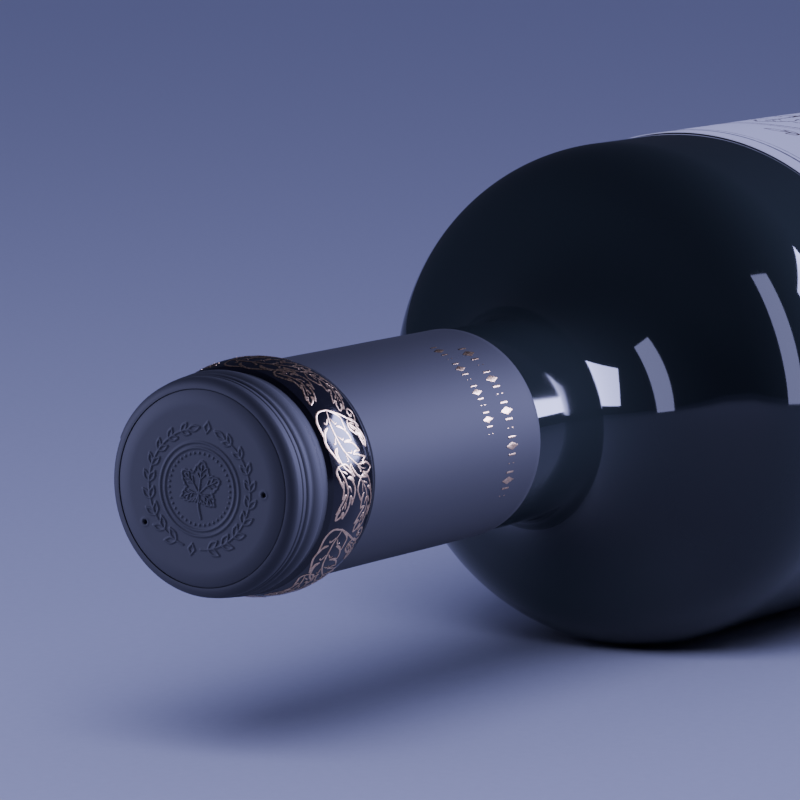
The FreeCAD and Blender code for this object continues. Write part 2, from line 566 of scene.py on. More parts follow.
class Finish(Enum):
    """The bottle's finishes."""

    GLASS = GlassFinish()
    SLEEVE = FilmFinish("sleeve_film", (0.0045, 0.0047, 0.006), (0.009, 0.009, 0.0115), (0.19, 0.25))
    BAND = FilmFinish("sleeve_gloss", (0.006, 0.0055, 0.008), (0.009, 0.0085, 0.012), (0.1, 0.16),
                      grain_depth=0.001 * MM, dimple_depth=0.005 * MM)
    DISC = FilmFinish("disc_plastic", (0.0045, 0.0047, 0.006), (0.009, 0.009, 0.0115), (0.17, 0.23))
    FOIL = FoilFinish()
    PAPER = PaperFinish("label_paper", (0.86, 0.84, 0.80), (0.80, 0.775, 0.73))
    INK = PaperFinish("label_ink", (0.11, 0.095, 0.09), (0.14, 0.12, 0.11), 0.6, 0.0)

    def material(self) -> bpy.types.Material:
        """The finish's material, which is made once."""
        return bpy.data.materials.get(self.value.name) or self.value.make()


# ---------------------------------------------------------------------------------------------------------
# Drawn patterns: lines on a flat sheet, in metres
# ---------------------------------------------------------------------------------------------------------

@dataclass(frozen=True)
class Stroke:
    """A drawn line: its points on the sheet, and its half width at each."""

    points: np.ndarray
    halves: np.ndarray

    def moved(self, turn: float = 0.0, shift: tuple[float, float] = (0.0, 0.0)) -> "Stroke":
        """A copy that is turned and then shifted.

        Args:
            turn: The angle in radians, anticlockwise.
            shift: The way along both axes.

        Returns:
            The copy.
        """
        cosine, sine = math.cos(turn), math.sin(turn)
        turned = self.points @ np.array(((cosine, sine), (-sine, cosine)))
        return Stroke(turned + shift, self.halves)


def smooth(controls: Sequence[Sequence[float]], count: int = 10) -> np.ndarray:
    """A smooth line through control points.

    Args:
        controls: The points to pass through.
        count: Samples from one control point to the next.

    Returns:
        The line's points.
    """
    given = np.array(controls, float)
    ends = (2 * given[0] - given[1], 2 * given[-1] - given[-2])
    padded = np.vstack((ends[0], given, ends[1]))
    made = []
    for before, first, second, after in zip(padded, padded[1:], padded[2:], padded[3:]):
        for i in range(count):
            t = i / count
            made.append(0.5 * (2 * first + (second - before) * t
                               + (2 * before - 5 * first + 4 * second - after) * t * t
                               + (3 * first - before - 3 * second + after) * t ** 3))
    made.append(given[-1])
    return np.array(made)


def drawn(points: np.ndarray, half: float, taper: float = 0.0) -> Stroke:
    """A stroke of one half width, whose ends thin out by the share taper."""
    along = np.linspace(-1, 1, len(points))
    return Stroke(np.asarray(points, float), half * (1 - taper * np.abs(along) ** 3))


def ring(radius: float, half: float, start: float = 0.0, sweep: float = FULL_TURN,
         centre: tuple[float, float] = (0.0, 0.0), count: int = 96) -> Stroke:
    """A circle, or an arc of it."""
    turns = start + np.linspace(0, sweep, count)
    return drawn(np.stack((np.cos(turns), np.sin(turns)), 1) * radius + centre, half)


def spiral(radius: float, turns: float, half: float, centre: tuple[float, float], start: float,
           hand: int = 1) -> Stroke:
    """A volute that winds inwards.

    Args:
        radius: Its outer radius.
        turns: How many turns it makes.
        half: Its half width.
        centre: Its middle.
        start: The angle of its outer end.
        hand: 1 for anticlockwise, and -1 for clockwise.

    Returns:
        The stroke, from the outer end to the middle.
    """
    share = np.linspace(0, 1, 72)
    angles = start + hand * share * turns * FULL_TURN
    radii = radius * (1 - 0.86 * share)
    return drawn(np.stack((np.cos(angles), np.sin(angles)), 1) * radii[:, None] + centre, half)


class Spine:
    """A leaf's middle line, for places beside it."""

    def __init__(self, controls: Sequence[Sequence[float]]) -> None:
        """Measure a smooth line.

        Args:
            controls: The points that it runs through.
        """
        self.line = smooth(controls, 16)
        steps = np.linalg.norm(np.diff(self.line, axis=0), axis=1)
        self.reach = np.concatenate(([0.0], np.cumsum(steps))) / steps.sum()
        ahead = np.gradient(self.line, axis=0)
        ahead /= np.linalg.norm(ahead, axis=1)[:, None]
        self.side = np.stack((-ahead[:, 1], ahead[:, 0]), 1)

    def at(self, share: float, across: float) -> np.ndarray:
        """The place beside the line.

        Args:
            share: How far along the line, from 0 to 1.
            across: How far to the left of it.

        Returns:
            The place.
        """
        share = min(max(share, 0.0), 1.0)
        middle = [np.interp(share, self.reach, self.line[:, i]) for i in (0, 1)]
        side = [np.interp(share, self.reach, self.side[:, i]) for i in (0, 1)]
        return np.array(middle) + across * np.array(side)


def acanthus_leaf(controls: Sequence[Sequence[float]], width: float, lobes: int, half: float,
                  fullness: tuple[float, float] = (1.0, 1.0)) -> list[Stroke]:
    """A scalloped leaf in outline, with a midrib and a vein to each lobe.

    Args:
        controls: The midrib, from the stem to the tip.
        width: The leaf's greatest half width.
        lobes: Lobes on each side.
        half: The half width of its lines.
        fullness: The share of the width on the left and on the right.

    Returns:
        The leaf's strokes.
    """
    spine = Spine(controls)
    strokes = [drawn(spine.line[: int(len(spine.line) * 0.86)], half * 0.9, 0.6)]
    reach = 0.82
    for side, full in zip((1, -1), fullness):
        inner = spine.at(0.0, 0.0)
        for lobe in range(lobes):
            foot, head = reach * lobe / lobes, reach * (lobe + 1) / lobes
            swell = width * full * side * math.sin(math.pi * (0.28 + 0.62 * head))
            belly = spine.at(foot + 0.22 * (head - foot), swell * 0.82)
            shoulder = spine.at(foot + 0.72 * (head - foot), swell * 1.04)
            tip = spine.at(head + 0.09, swell * 0.98)
            notch = spine.at(head - 0.01, swell * 0.36)
            strokes.append(drawn(smooth((inner, belly, shoulder, tip)), half, 0.3))
            strokes.append(drawn(smooth((tip, spine.at(head + 0.01, swell * 0.7), notch)), half, 0.3))
            if full > 0.7:
                vein = (spine.at(foot + 0.1, swell * 0.1), spine.at(head - 0.06, swell * 0.5))
                strokes.append(drawn(smooth((vein[0], spine.at(foot + 0.16, swell * 0.34), vein[1])),
                                     half * 0.8, 0.8))
            inner = notch
        strokes.append(drawn(smooth((inner, spine.at(0.9, swell * 0.5), spine.at(1.0, 0.0))), half, 0.3))
    return strokes


def vine_leaf(radius: float, half: float) -> list[Stroke]:
    """A five-lobed vine leaf with a toothed edge and veins, its stem downwards.

    Args:
        radius: The length of its upper lobe.
        half: The half width of its lines.

    Returns:
        The leaf's strokes.
    """
    lobes = ((0, 1.0), (58, 0.92), (122, 0.8), (-58, 0.92), (-122, 0.8))
    heart = (0.0, -0.16)
    lobe_reach = math.radians(58)
    edge = []
    for angle in np.radians(np.linspace(-172, 172, 345)):
        reach = 0.0
        for turn, length in lobes:
            off = abs((angle - math.radians(turn) + math.pi) % FULL_TURN - math.pi)
            reach = max(reach, length * (1 - (off / lobe_reach) ** 0.9 * 0.7))
        tooth = 0.05 * (1 - abs((math.degrees(angle) / 11.5) % 1 * 2 - 1))
        reach = max(reach, 0.42) + tooth
        edge.append((reach * math.sin(angle), reach * math.cos(angle)))
    strokes = [drawn(np.array([heart, *edge, heart]) * radius, half)]
    for turn, length in lobes:
        lead = np.array((math.sin(math.radians(turn)), math.cos(math.radians(turn))))
        rib = np.array([heart, lead * length * 0.4, lead * length * 0.84])
        strokes.append(drawn(rib * radius, half * 0.85))
        for side in (-1, 1):
            for share in (0.36, 0.58):
                lean = math.radians(turn + side * 42)
                start = lead * length * share
                end = start + np.array((math.sin(lean), math.cos(lean))) * 0.24 * length
                strokes.append(drawn(np.array((start, end)) * radius, half * 0.7))
    strokes.append(drawn(smooth((heart, (0.05, -0.6), (0.22, -1.02))) * radius, half * 1.1))
    return strokes


def laurel_leaf(foot: np.ndarray, ahead: np.ndarray, length: float, half: float) -> list[Stroke]:
    """A narrow leaf in outline.

    Args:
        foot: Where it leaves the branch.
        ahead: Its direction.
        length: Its length.
        half: The half width of its lines.

    Returns:
        Its two edges.
    """
    beside = np.array((-ahead[1], ahead[0]))
    edges = []
    for edge in (-1, 1):
        bow = [foot, foot + ahead * length * 0.5 + beside * edge * length * 0.2, foot + ahead * length]
        edges.append(drawn(smooth(bow, 6), half))
    return edges


def laurel_branch(radius: float, start: float, sweep: float, leaves: int, length: float,
                  half: float) -> list[Stroke]:
    """A branch that follows a circle, with leaves in pairs.

    Args:
        radius: The circle's radius.
        start: The angle where the branch begins.
        sweep: How far it goes round, with its sign.
        leaves: The number of pairs.
        length: A leaf's length.
        half: The half width of its lines.

    Returns:
        The branch's strokes.
    """
    strokes = [ring(radius, half, start, sweep)]
    hand = math.copysign(1.0, sweep)
    for i in range(leaves):
        angle = start + sweep * (i + 0.5) / leaves
        foot = np.array((math.cos(angle), math.sin(angle))) * radius
        for side in (-1, 1):
            lead = angle + hand * (math.pi / 2 - side * 0.52)
            ahead = np.array((math.cos(lead), math.sin(lead)))
            strokes += laurel_leaf(foot, ahead, length * (1 - 0.25 * i / leaves), half)
    tip = start + sweep
    foot = np.array((math.cos(tip), math.sin(tip))) * radius
    ahead = np.array((-math.sin(tip), math.cos(tip))) * hand
    return strokes + laurel_leaf(foot, ahead, length, half)


@dataclass(frozen=True)
class Wreath:
    """Two laurel branches that rise from the bottom of a circle. Its angles are in degrees."""

    radius: float
    gap: float
    sweep: float
    leaves: int
    length: float
    half: float

    def strokes(self) -> list[Stroke]:
        """The lines of both branches.

        Returns:
            The wreath's strokes.
        """
        made = []
        for hand in (1, -1):
            made += laurel_branch(self.radius, math.radians(-90 + hand * self.gap),
                                  math.radians(hand * self.sweep), self.leaves, self.length, self.half)
        return made


# ---------------------------------------------------------------------------------------------------------
# Foil and ink: strokes turned into thin ribbons that lie on a round surface
# ---------------------------------------------------------------------------------------------------------

class PrintTree:
    """A Geometry Nodes tree that lays strokes on a barrel and repeats them round the axis.

    The strokes come as edges in a flat sheet: x runs round the bottle and y along it. The attribute "half"
    is the half width of the line.
    """

    INPUTS = (("Geometry", "NodeSocketGeometry"), ("Repeats", "NodeSocketInt"), ("Step", "NodeSocketFloat"),
              ("Start", "NodeSocketFloat"), ("Begin", "NodeSocketFloat"), ("Width", "NodeSocketFloat"),
              ("Edge Radius", "NodeSocketFloat"), ("Crown Radius", "NodeSocketFloat"),
              ("Lift", "NodeSocketFloat"), ("Thickness", "NodeSocketFloat"),
              ("Origin", "NodeSocketVector"), ("Material", "NodeSocketMaterial"))
    SIDES = 6

    def __init__(self) -> None:
        """Build the tree."""
        self.tree = bpy.data.node_groups.new("print_on_barrel", "GeometryNodeTree")
        self.sockets: dict[str, str] = {}
        for name, kind in self.INPUTS:
            socket = self.tree.interface.new_socket(name=name, in_out="INPUT", socket_type=kind)
            self.sockets[name] = socket.identifier
        self.tree.interface.new_socket(name="Geometry", in_out="OUTPUT", socket_type="NodeSocketGeometry")
        self._build()

    def _build(self) -> None:
        """Lay out the nodes."""
        nodes = Nodes(self.tree)
        given = nodes.add("NodeGroupInput").outputs
        half = nodes.add("GeometryNodeInputNamedAttribute", {"Name": "half"}, data_type="FLOAT").outputs[0]
        lines = nodes.add("GeometryNodeMeshToCurve", {"Mesh": given["Geometry"]}).outputs[0]
        upright = nodes.add("GeometryNodeSetCurveNormal", {"Curve": lines}, mode="Z_UP")
        circle = nodes.add("GeometryNodeCurvePrimitiveCircle", {"Resolution": self.SIDES, "Radius": 1.0})
        ribbon = nodes.add("GeometryNodeCurveToMesh", {"Curve": upright.outputs[0], "Scale": half,
                                                       "Profile Curve": circle.outputs[0], "Fill Caps": True})
        place = nodes.add("ShaderNodeSeparateXYZ", {0: nodes.add("GeometryNodeInputPosition").outputs[0]})
        height = nodes.math("MAXIMUM", nodes.math("MINIMUM", place.outputs[2], given["Thickness"]), 0.0)
        across = nodes.math("DIVIDE", place.outputs[1], given["Width"])
        bow = nodes.math("MULTIPLY", nodes.math("MULTIPLY", across, nodes.math("SUBTRACT", 1.0, across)), 4.0)
        rise = nodes.math("SUBTRACT", given["Crown Radius"], given["Edge Radius"])
        surface = nodes.math("MULTIPLY_ADD", rise, bow, given["Edge Radius"])
        radius = nodes.math("ADD", nodes.math("ADD", surface, given["Lift"]), height)
        turn = nodes.math("DIVIDE", place.outputs[0], given["Crown Radius"])
        wrapped = nodes.add("ShaderNodeCombineXYZ", {
            0: nodes.math("ADD", place.outputs[1], given["Begin"]),
            1: nodes.math("MULTIPLY", radius, nodes.math("COSINE", turn)),
            2: nodes.math("MULTIPLY", radius, nodes.math("SINE", turn))})
        laid = nodes.add("GeometryNodeSetPosition", {"Geometry": ribbon.outputs[0],
                                                     "Position": wrapped.outputs[0]})
        spots = nodes.add("GeometryNodePoints", {"Count": given["Repeats"], "Position": given["Origin"]})
        count = nodes.add("GeometryNodeInputIndex").outputs[0]
        angle = nodes.math("MULTIPLY_ADD", count, given["Step"], given["Start"])
        turned = nodes.add("ShaderNodeCombineXYZ", {0: angle})
        copies = nodes.add("GeometryNodeInstanceOnPoints", {
            "Points": spots.outputs[0], "Instance": laid.outputs[0], "Rotation": turned.outputs[0]})
        real = nodes.add("GeometryNodeRealizeInstances", {"Geometry": copies.outputs[0]})
        dressed = nodes.add("GeometryNodeSetMaterial", {"Geometry": real.outputs[0],
                                                        "Material": given["Material"]})
        nodes.add("NodeGroupOutput", {0: dressed.outputs[0]})

    def apply(self, name: str, strokes: Sequence[Stroke], **inputs: Any) -> bpy.types.Object:
        """Print strokes.

        Args:
            name: The piece's name.
            strokes: The strokes of one repeat.
            inputs: The tree's inputs, with _ for each space.

        Returns:
            A plain mesh object.
        """
        sheet = bpy.data.meshes.new(name + "_lines")
        points, edges, halves = [], [], []
        for stroke in strokes:
            first = len(points)
            points += [(float(x), float(y), 0.0) for x, y in stroke.points]
            edges += [(i, i + 1) for i in range(first, len(points) - 1)]
            halves += stroke.halves.tolist()
        sheet.from_pydata(points, edges, [])
        sheet.attributes.new("half", "FLOAT", "POINT").data.foreach_set("value", halves)
        holder = bpy.data.objects.new(name + "_lines", sheet)
        bpy.context.scene.collection.objects.link(holder)
        modifier = holder.modifiers.new("print", "NODES")
        modifier.node_group = self.tree
        for key, value in inputs.items():
            modifier[self.sockets[key.replace("_", " ")]] = value
        graph = bpy.context.evaluated_depsgraph_get()
        mesh = bpy.data.meshes.new_from_object(holder.evaluated_get(graph))
        bpy.data.objects.remove(holder)
        mesh.name = name
        mesh.polygons.foreach_set("use_smooth", [True] * len(mesh.polygons))
        mesh.set_sharp_from_angle(angle=math.radians(50))
        piece = bpy.data.objects.new(name, mesh)
        bpy.context.scene.collection.objects.link(piece)
        return piece


# ---------------------------------------------------------------------------------------------------------
# The bottle's sub-assemblies
# ---------------------------------------------------------------------------------------------------------

@dataclass(frozen=True)
class Glass:
    """The dark glass from lip to base, with its punt and the flat spot that it rests on."""

    axis: Axis
    lip_radius: float = 14.2 * MM
    lip_round: float = 1.5 * MM
    lip_face: float = 1.35 * MM
    pole: float = 0.3 * MM
    fillet: float = 0.5 * MM
    band_edge: float = 14.85 * MM
    band_crown: float = 15.65 * MM
    band_start: float = 8.9 * MM
    band_width: float = 9.7 * MM
    neck_radius: float = 14.45 * MM
    flare_start: float = 78.5 * MM
    flare_radius: float = 20 * MM
    shoulder_radius: float = 16 * MM
    slope: float = math.radians(62)
    heel_radius: float = 7 * MM
    punt_radius: float = 26 * MM
    punt_depth: float = 24 * MM
    punt_lip: float = 2 * MM
    punt_share: float = 0.985
    stipple_count: int = 84
    stipple_depth: float = 0.22 * MM
    stipple_radius: float = 29.2 * MM
    stipple_reach: float = 1.3 * MM
    stipple_twist: float = 0.9 * MM
    stipple_height: float = 0.3 * MM
    unevenness: float = 0.05 * MM
    uneven_pitch: float = 90 * MM
    uneven_radius: float = 30 * MM
    uneven_rise: float = 4 * MM
    true_base: float = 12 * MM
    uneven_fade: float = 20 * MM
    columns: int = 420

    @property
    def length(self) -> float:
        """From s = 0 to the base."""
        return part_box("bottle_glass")[1].x - self.axis.nose

    @property
    def body_radius(self) -> float:
        """The body's radius, from the CAD node's width."""
        low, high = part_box("bottle_glass")
        return (high.y - low.y) / 2

    @property
    def shoulder_end(self) -> float:
        """Where the full body begins.

        Returns:
            Its place along the axis.
        """
        rise = self.body_radius - self.neck_radius
        curves = self.flare_radius + self.shoulder_radius
        straight = rise - curves * (1 - math.cos(self.slope))
        return self.flare_start + curves * math.sin(self.slope) + straight / math.tan(self.slope)

    def outline(self) -> np.ndarray:
        """The glass's outline from the lip's face to the middle of the punt.

        Returns:
            Its (s, r) rows.
        """
        outline = Outline(self.lip_face, self.pole)
        corner = (self.lip_face + self.lip_round, self.lip_radius - self.lip_round)
        outline.line(self.lip_face, corner[1], step=4 * MM)
        outline.round(corner, self.lip_round, -math.pi / 2, count=6)
        outline.line(self.band_start - self.fillet, self.lip_radius, step=2 * MM)
        outline.line(self.band_start, self.band_edge)
        outline.barrel(self.band_width, self.band_edge, self.band_crown, count=8)
        outline.line(self.band_start + self.band_width + self.fillet, self.neck_radius)
        outline.line(self.flare_start, self.neck_radius, step=3 * MM)
        flare = (self.flare_start, self.neck_radius + self.flare_radius)
        outline.round(flare, self.flare_radius, self.slope, count=26)
        end, body = self.shoulder_end, self.body_radius
        drop = self.shoulder_radius * (1 - math.cos(self.slope))
        outline.line(end - self.shoulder_radius * math.sin(self.slope), body - drop, step=1 * MM)
        outline.round((end, body - self.shoulder_radius), self.shoulder_radius, -self.slope, count=26)
        heel = (self.length - self.heel_radius, body - self.heel_radius)
        outline.line(heel[0], body, step=4 * MM)
        outline.round(heel, self.heel_radius, -math.pi / 2, count=16)
        lip = self.punt_radius + self.punt_lip
        outline.line(self.length, lip, step=0.35 * MM)
        outline.round((self.length - self.punt_lip, lip), self.punt_lip, -math.pi / 2, count=10)
        depth = self.punt_depth - self.punt_lip
        dome = (self.punt_radius ** 2 + depth ** 2) / (2 * depth)
        half = math.atan2(self.punt_radius, dome - depth)
        outline.round((self.length - self.punt_depth + dome, 0.0), dome, half * self.punt_share, count=30)
        return outline.samples()

    def make(self) -> bpy.types.Object:
        """Build and dress the glass.

        Returns:
            The piece.
        """
        outline = self.outline()
        s, r = outline[:, :1], outline[:, 1:]
        turn = round_turns(self.columns)
        before_base = np.clip((self.length - self.true_base - s) / self.uneven_fade, 0, 1)
        body = np.clip((r - self.uneven_radius) / self.uneven_rise, 0, 1) * before_base
        uneven = waves(s, turn, self.unevenness, self.uneven_pitch, seed=11) - 2 * self.unevenness
        radius = np.minimum(r + uneven * body, self.body_radius)
        bearing = np.clip(1 - np.abs(r - self.stipple_radius) / self.stipple_reach, 0, 1)
        bearing = bearing * (s > self.length - self.stipple_height)
        beat = 0.5 - 0.5 * np.cos(self.stipple_count * turn + r / self.stipple_twist)
        grid = self.axis.points(s - self.stipple_depth * bearing * beat, radius, turn)
        grid[..., 2] = np.maximum(grid[..., 2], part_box("bottle_glass")[0].z)
        piece = round_mesh("glass_body", grid, ring=False)
        set_finishes(piece, [Finish.GLASS.material()])
        hand_over(piece, "dark_glass", "bottle_glass")
        return piece


@dataclass(frozen=True)
class Sleeve:
    """The shrink sleeve: folded rim, hoops, printed band and plain tube, with the seam of the film."""

    axis: Axis
    front: float = 0.6 * MM
    film: float = 0.3 * MM
    window: float = 13.1 * MM
    window_edge: float = 0.06 * MM
    bore: float = 14.25 * MM
    bore_start: float = 1.65 * MM
    rim_round: float = 1.5 * MM
    skirt: float = 14.65 * MM
    hoops: tuple[tuple[float, float, float], ...] = ((0.3 * MM, 0.5 * MM, 0.12 * MM),
                                                     (0.4 * MM, 1.0 * MM, 0.25 * MM),
                                                     (0.4 * MM, 2.6 * MM, 0.45 * MM))
    groove: float = 1.1 * MM
    step: float = 0.5 * MM
    step_edge: float = 0.12 * MM
    band_width: float = 9.7 * MM
    band_edge: float = 15.2 * MM
    band_crown: float = 16.0 * MM
    radius: float = 14.8 * MM
    length: float = 61.9 * MM
    tube_edge: tuple[float, float] = (0.1 * MM, 0.06 * MM)
    neck_hoop: tuple[float, float, float] = (0.15 * MM, 0.5 * MM, 0.15 * MM)
    fine_stretch: float = 4 * MM
    unevenness: float = 0.03 * MM
    uneven_pitch: float = 30 * MM
    seam_turn: float = math.radians(22.5)
    seam_height: float = 0.13 * MM
    seam_sink: float = 0.35
    seam_rise: float = math.radians(0.6)
    seam_flat: float = math.radians(9)
    seam_fade: float = math.radians(26)
    seam_inset: float = 1.2 * MM
    band_margin: float = 0.1 * MM
    columns: int = 420

    @property
    def band_start(self) -> float:
        """Where the band's barrel begins."""
        skirt = sum(gap + width for gap, width, _ in self.hoops)
        return self.front + self.rim_round + skirt + self.groove + self.step

    def outline(self) -> np.ndarray:
        """The closed outline of the film, outside first.

        Returns:
            Its (s, r) rows.
        """
        outline = Outline(self.front + self.film, self.window)
        outline.line(self.front + self.window_edge, self.window)
        corner = (self.front + self.rim_round, self.skirt - self.rim_round)
        outline.line(self.front, corner[1])
        outline.round(corner, self.rim_round, -math.pi / 2, count=14)
        for hoop in self.hoops:
            outline.hoop(*hoop, self.skirt)
        start, end = self.band_start, self.band_start + self.band_width
        outline.line(start - self.step, self.skirt, step=0.25 * MM)
        outline.line(start - self.step * 0.2, self.band_edge - self.step_edge, step=0.15 * MM)
        outline.line(start, self.band_edge).barrel(self.band_width, self.band_edge, self.band_crown, count=20)
        outline.line(end + self.step * 0.2, self.band_edge - self.step_edge)
        outline.line(end + self.step, self.radius, step=0.15 * MM)
        outline.hoop(*self.neck_hoop, self.radius, count=8)
        outline.line(end + self.fine_stretch, self.radius, step=0.5 * MM)
        finish = self.front + self.length
        back, drop = self.tube_edge
        outline.line(finish - back, self.radius, step=1 * MM).line(finish, self.radius - drop)
        inside = self.radius - self.film
        outline.line(finish, inside).line(end + self.step, inside, step=8 * MM)
        edge, crown = self.band_edge - self.film, self.band_crown - self.film
        outline.line(end, edge).barrel(-self.band_width, edge, crown, count=8)
        outline.line(start - self.step, self.bore).line(self.bore_start, self.bore, step=4 * MM)
        return outline.samples()

    def seam(self, turn: np.ndarray) -> np.ndarray:
        """How high the overlap stands over the rest of the film.

        Args:
            turn: Turns round the axis.

        Returns:
            Heights from 0 to 1.
        """
        past = (turn - self.seam_turn) % FULL_TURN
        rise = np.clip(past / self.seam_rise, 0, 1)
        return rise * np.clip(1 - (past - self.seam_flat) / self.seam_fade, 0, 1)

    def make(self) -> bpy.types.Object:
        """Build and dress the sleeve.

        Returns:
            The piece.
        """
        outline = self.outline()
        s, r = outline[:, :1], outline[:, 1:]
        turn = round_turns(self.columns) + self.seam_turn
        start, end = self.band_start, self.band_start + self.band_width
        band = (s > start - self.band_margin) & (s < end + self.band_margin)
        uneven = waves(s, turn, self.unevenness, self.uneven_pitch, seed=5) - self.unevenness
        outside = r > self.radius - self.film * 2 / 3
        lift = np.where(outside, uneven * np.where(band, 0.5, 1.0), 0.0)
        rim = np.clip((r - self.window) / self.seam_inset, 0, 1) * (s < start) * (s > self.front)
        lift = lift + self.seam_height * (self.seam(turn) - self.seam_sink) * np.where(band, 0.0, rim)
        piece = round_mesh("sleeve_film", self.axis.points(s, r + lift, turn), ring=True)
        low, high = self.axis.nose + start - self.step, self.axis.nose + end + self.step
        set_finishes(piece, [Finish.SLEEVE.material(), Finish.BAND.material()],
                     lambda middles: (middles[:, 0] > low) & (middles[:, 0] < high))
        hand_over(piece, "sleeve_film", "capsule_sleeve")
        return piece


@dataclass(frozen=True)
class Disc:
    """The end disc: a crowned edge, a flat middle with an embossed emblem, and two air holes."""

    axis: Axis
    relief: float = 0.15 * MM
    crown: float = 0.55 * MM
    flat_radius: float = 10.8 * MM
    edge_radius: float = 13.05 * MM
    skirt_radius: float = 13.45 * MM
    ledge: float = 0.9 * MM
    back: float = 1.35 * MM
    hole_radius: float = 0.34 * MM
    hole_place: float = 10.0 * MM
    hole_turns: tuple[float, float] = (math.radians(-30), math.radians(180))
    hole_depth: float = 0.6 * MM
    hole_edge: float = 0.12 * MM
    hole_lip: float = 0.05 * MM
    hole_lip_width: float = 0.16 * MM
    line: float = 0.17 * MM
    line_floor: float = 0.015 * MM
    line_skirt: float = 1.5
    line_sample: float = 0.05 * MM
    rings: tuple[float, float] = (5.45 * MM, 6.2 * MM)
    leaf: float = 3.75 * MM
    wreath: Wreath = Wreath(7.95 * MM, 10, 148, 9, 1.95 * MM, 0.1275 * MM)
    lozenges: tuple[float, float] = (8.3 * MM, -8.1 * MM)
    lozenge_size: tuple[float, float] = (0.5 * MM, 0.75 * MM)
    beads: int = 40
    bead_circle: float = 4.75 * MM
    bead_half: float = 0.15 * MM
    tilt: float = math.radians(-9)
    unevenness: float = 0.012 * MM
    uneven_pitch: float = 40 * MM
    pole: float = 0.05 * MM
    back_pole: float = 0.3 * MM
    columns: int = 600
    flat_rows: int = 120
    crown_rows: int = 30

    def emblem(self) -> list[Stroke]:
        """A vine leaf in a double ring, between two laurel branches that leave room for a lozenge.

        Returns:
            The emblem's strokes.
        """
        strokes = [ring(radius, self.line) for radius in self.rings]
        strokes += vine_leaf(self.leaf, self.line * 0.85) + self.wreath.strokes()
        wide, tall = self.lozenge_size
        for y in self.lozenges:
            corners = [(0.0, y + tall), (wide, y), (0.0, y - tall), (-wide, y)]
            strokes.append(drawn(np.array([*corners, corners[0]]), self.line * 0.8))
        for turn in np.linspace(0, FULL_TURN, self.beads, endpoint=False):
            spot = np.array((math.cos(turn), math.sin(turn))) * self.bead_circle
            strokes.append(drawn(np.stack((spot, spot + 0.01 * MM)), self.bead_half))
        return [stroke.moved(turn=self.tilt) for stroke in strokes]

    def heights(self, across: np.ndarray, up: np.ndarray) -> np.ndarray:
        """The emblem's height on the disc.

        Args:
            across: Places to the right of the disc's middle.
            up: Places above it.

        Returns:
            Heights from 0 to 1, of the arguments' shape.
        """
        places, halves = [], []
        for stroke in self.emblem():
            for first, second, half in zip(stroke.points, stroke.points[1:], stroke.halves):
                count = max(1, math.ceil(np.linalg.norm(second - first) / self.line_sample))
                places += [first + (second - first) * i / count for i in range(count)]
                halves += [half] * count
        tree = KDTree(len(places))
        for i, (x, y) in enumerate(places):
            tree.insert((x, y, 0.0), i)
        tree.balance()
        found = np.zeros(across.shape)
        for index in np.ndindex(across.shape):
            x, y = across[index], up[index]
            if math.hypot(x, y) > self.flat_radius * 0.97:
                continue
            _, nearest, distance = tree.find((x, y, 0.0))
            reach = distance / (halves[nearest] * self.line_skirt)
            if reach < 1:
                found[index] = (1 - reach * reach) ** 1.5
        return found

    def hole(self, away: np.ndarray) -> np.ndarray:
        """How far an air hole lowers the surface, with a low lip round it.

        Args:
            away: Distances from the hole's middle.

        Returns:
            Depths, negative on the lip.
        """
        lip = self.hole_lip * np.exp(-((away - self.hole_radius * 1.5) / self.hole_lip_width) ** 2)
        return self.hole_depth * np.clip((self.hole_radius - away) / self.hole_edge, 0, 1) - lip

    def make(self) -> bpy.types.Object:
        """Build and dress the disc.

        Returns:
            The piece.
        """
        flat = np.linspace(self.pole, self.flat_radius, self.flat_rows, endpoint=False)
        crowned = np.linspace(self.flat_radius, self.edge_radius, self.crown_rows)
        radii = np.concatenate((flat, crowned))[:, None]
        turn = round_turns(self.columns)
        width = self.edge_radius - self.flat_radius
        bend = (width ** 2 + self.crown ** 2) / (2 * self.crown)
        past = np.clip(radii - self.flat_radius, 0, None)
        s = self.relief + bend - np.sqrt(bend ** 2 - past ** 2)
        s = s + waves(radii * 3, turn, self.unevenness, self.uneven_pitch, seed=3) + self.unevenness
        across, up = -radii * np.cos(turn), radii * np.sin(turn)
        s = s - (self.relief - self.line_floor) * self.heights(across, up)
        for place in self.hole_turns:
            centre = np.array((-math.cos(place), math.sin(place))) * self.hole_place
            s = s + self.hole(np.hypot(across - centre[0], up - centre[1]))
        rows = [(s, radii + 0 * turn)]
        for ledge in ((self.ledge, self.edge_radius), (self.ledge, self.skirt_radius),
                      (self.back, self.skirt_radius), (self.back, self.back_pole)):
            rows.append(tuple(np.full((1, self.columns), place) for place in ledge))
        grid = self.axis.points(np.vstack([a for a, _ in rows]), np.vstack([b for _, b in rows]), turn)
        piece = round_mesh("end_disc", grid, ring=False, sharp_angle=math.radians(65))
        set_finishes(piece, [Finish.DISC.material()])
        hand_over(piece, "disc_plastic", "capsule_disc")
        return piece


